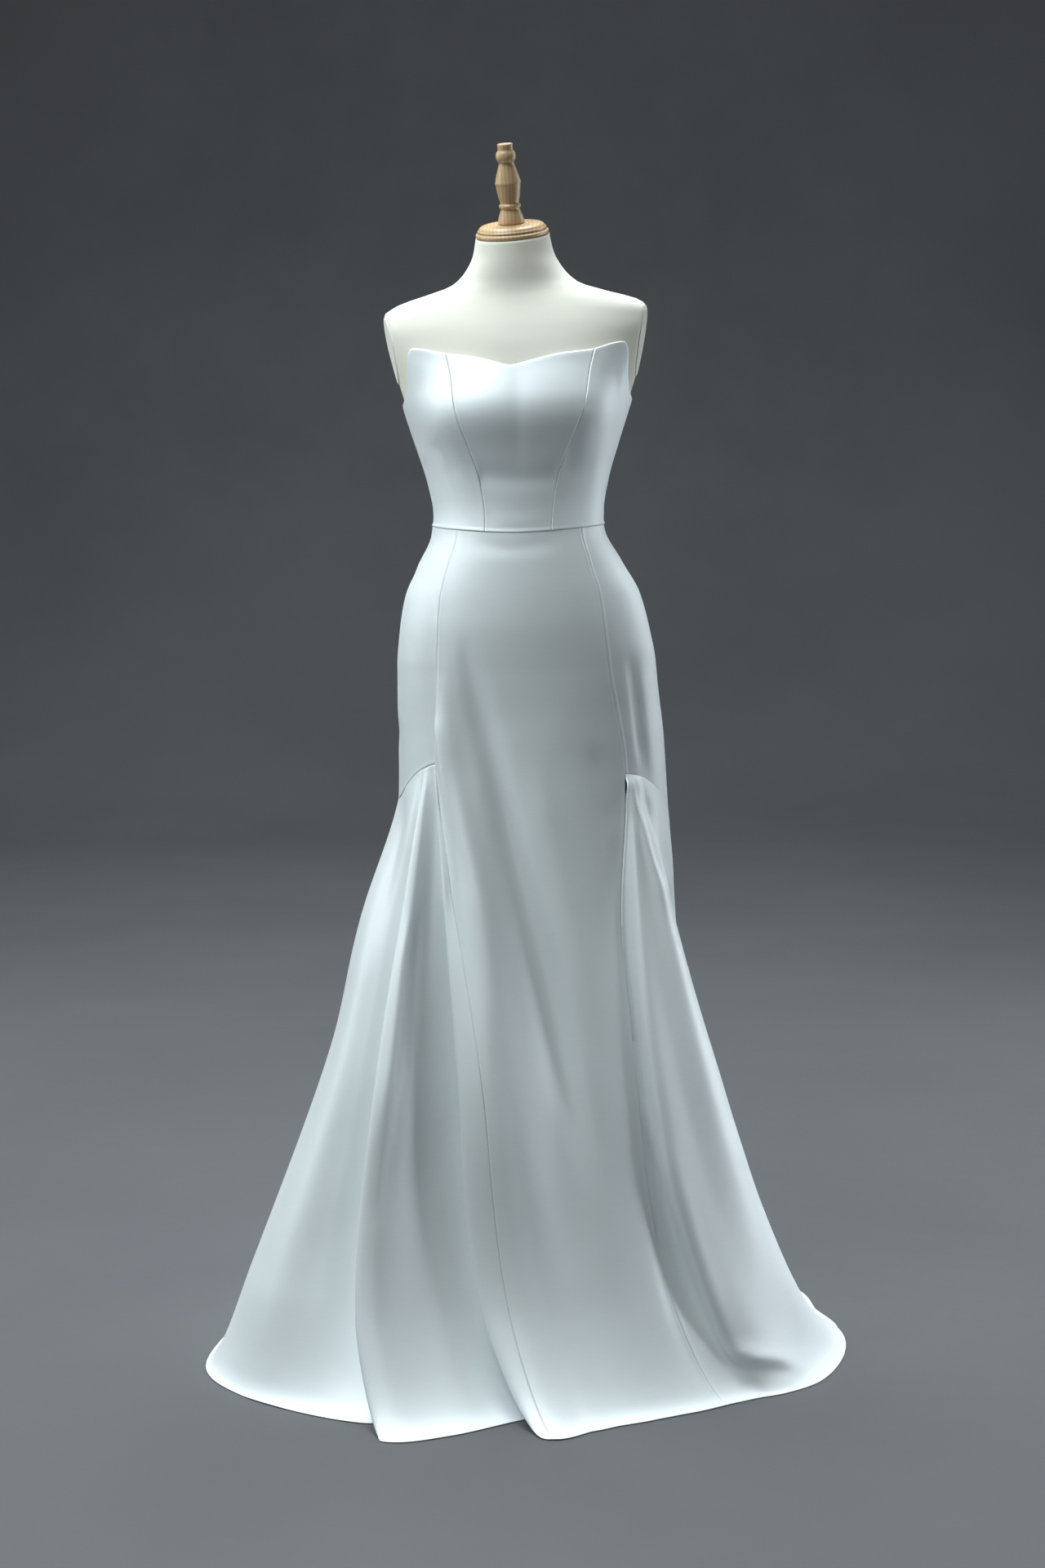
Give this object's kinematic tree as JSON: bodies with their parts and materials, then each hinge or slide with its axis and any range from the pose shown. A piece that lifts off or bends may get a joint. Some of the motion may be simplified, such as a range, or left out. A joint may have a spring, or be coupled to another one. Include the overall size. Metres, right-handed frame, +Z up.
{
  "type": "wedding dress on a dress form",
  "caption": "Strapless satin wedding dress with a fitted bodice, shaped neckline and flared floor-length skirt with godets, on a limbless padded dress form with a turned wooden neck cap.",
  "frame": {"origin": "on the floor, at the middle of the underside of the stand's base", "axes": "+Z up, -Y towards the front of the dress, +X towards the wearer's left"},
  "size_m": [0.8912, 0.9535, 1.6633],
  "materials": {
    "satin": "smooth ivory-white bridal satin with a soft sheen",
    "form_cloth": "matt cream cotton jersey stretched over padding",
    "wood": "turned beech with a light satin varnish",
    "zip_metal": "pale lacquered metal"
  },
  "bodies": {
    "dress": {"bodice_front": "satin", "bodice_side_front_left": "satin", "bodice_side_front_right": "satin", "bodice_side_back_left": "satin", "bodice_side_back_right": "satin", "bodice_back_left": "satin", "bodice_back_right": "satin", "skirt_front": "satin", "hip_right": "satin", "hip_left": "satin", "godet_right": "satin", "godet_left": "satin", "skirt_back_right": "satin", "skirt_back_left": "satin", "form_torso": "form_cloth", "form_neck_cap": "wood", "form_finial": "wood", "form_pole": "wood", "form_base": "wood", "zip_slider": "zip_metal"},
    "zip_pull": {"zip_pull": "zip_metal"}
  },
  "joints": [
    {"name": "zip_pull_hinge", "type": "hinge", "parent": "dress", "child": "zip_pull", "pos_m": [-0.00241, 0.11405, 1.27544], "axis": [1, 0, 0], "range_deg": [0, 160]}
  ]
}
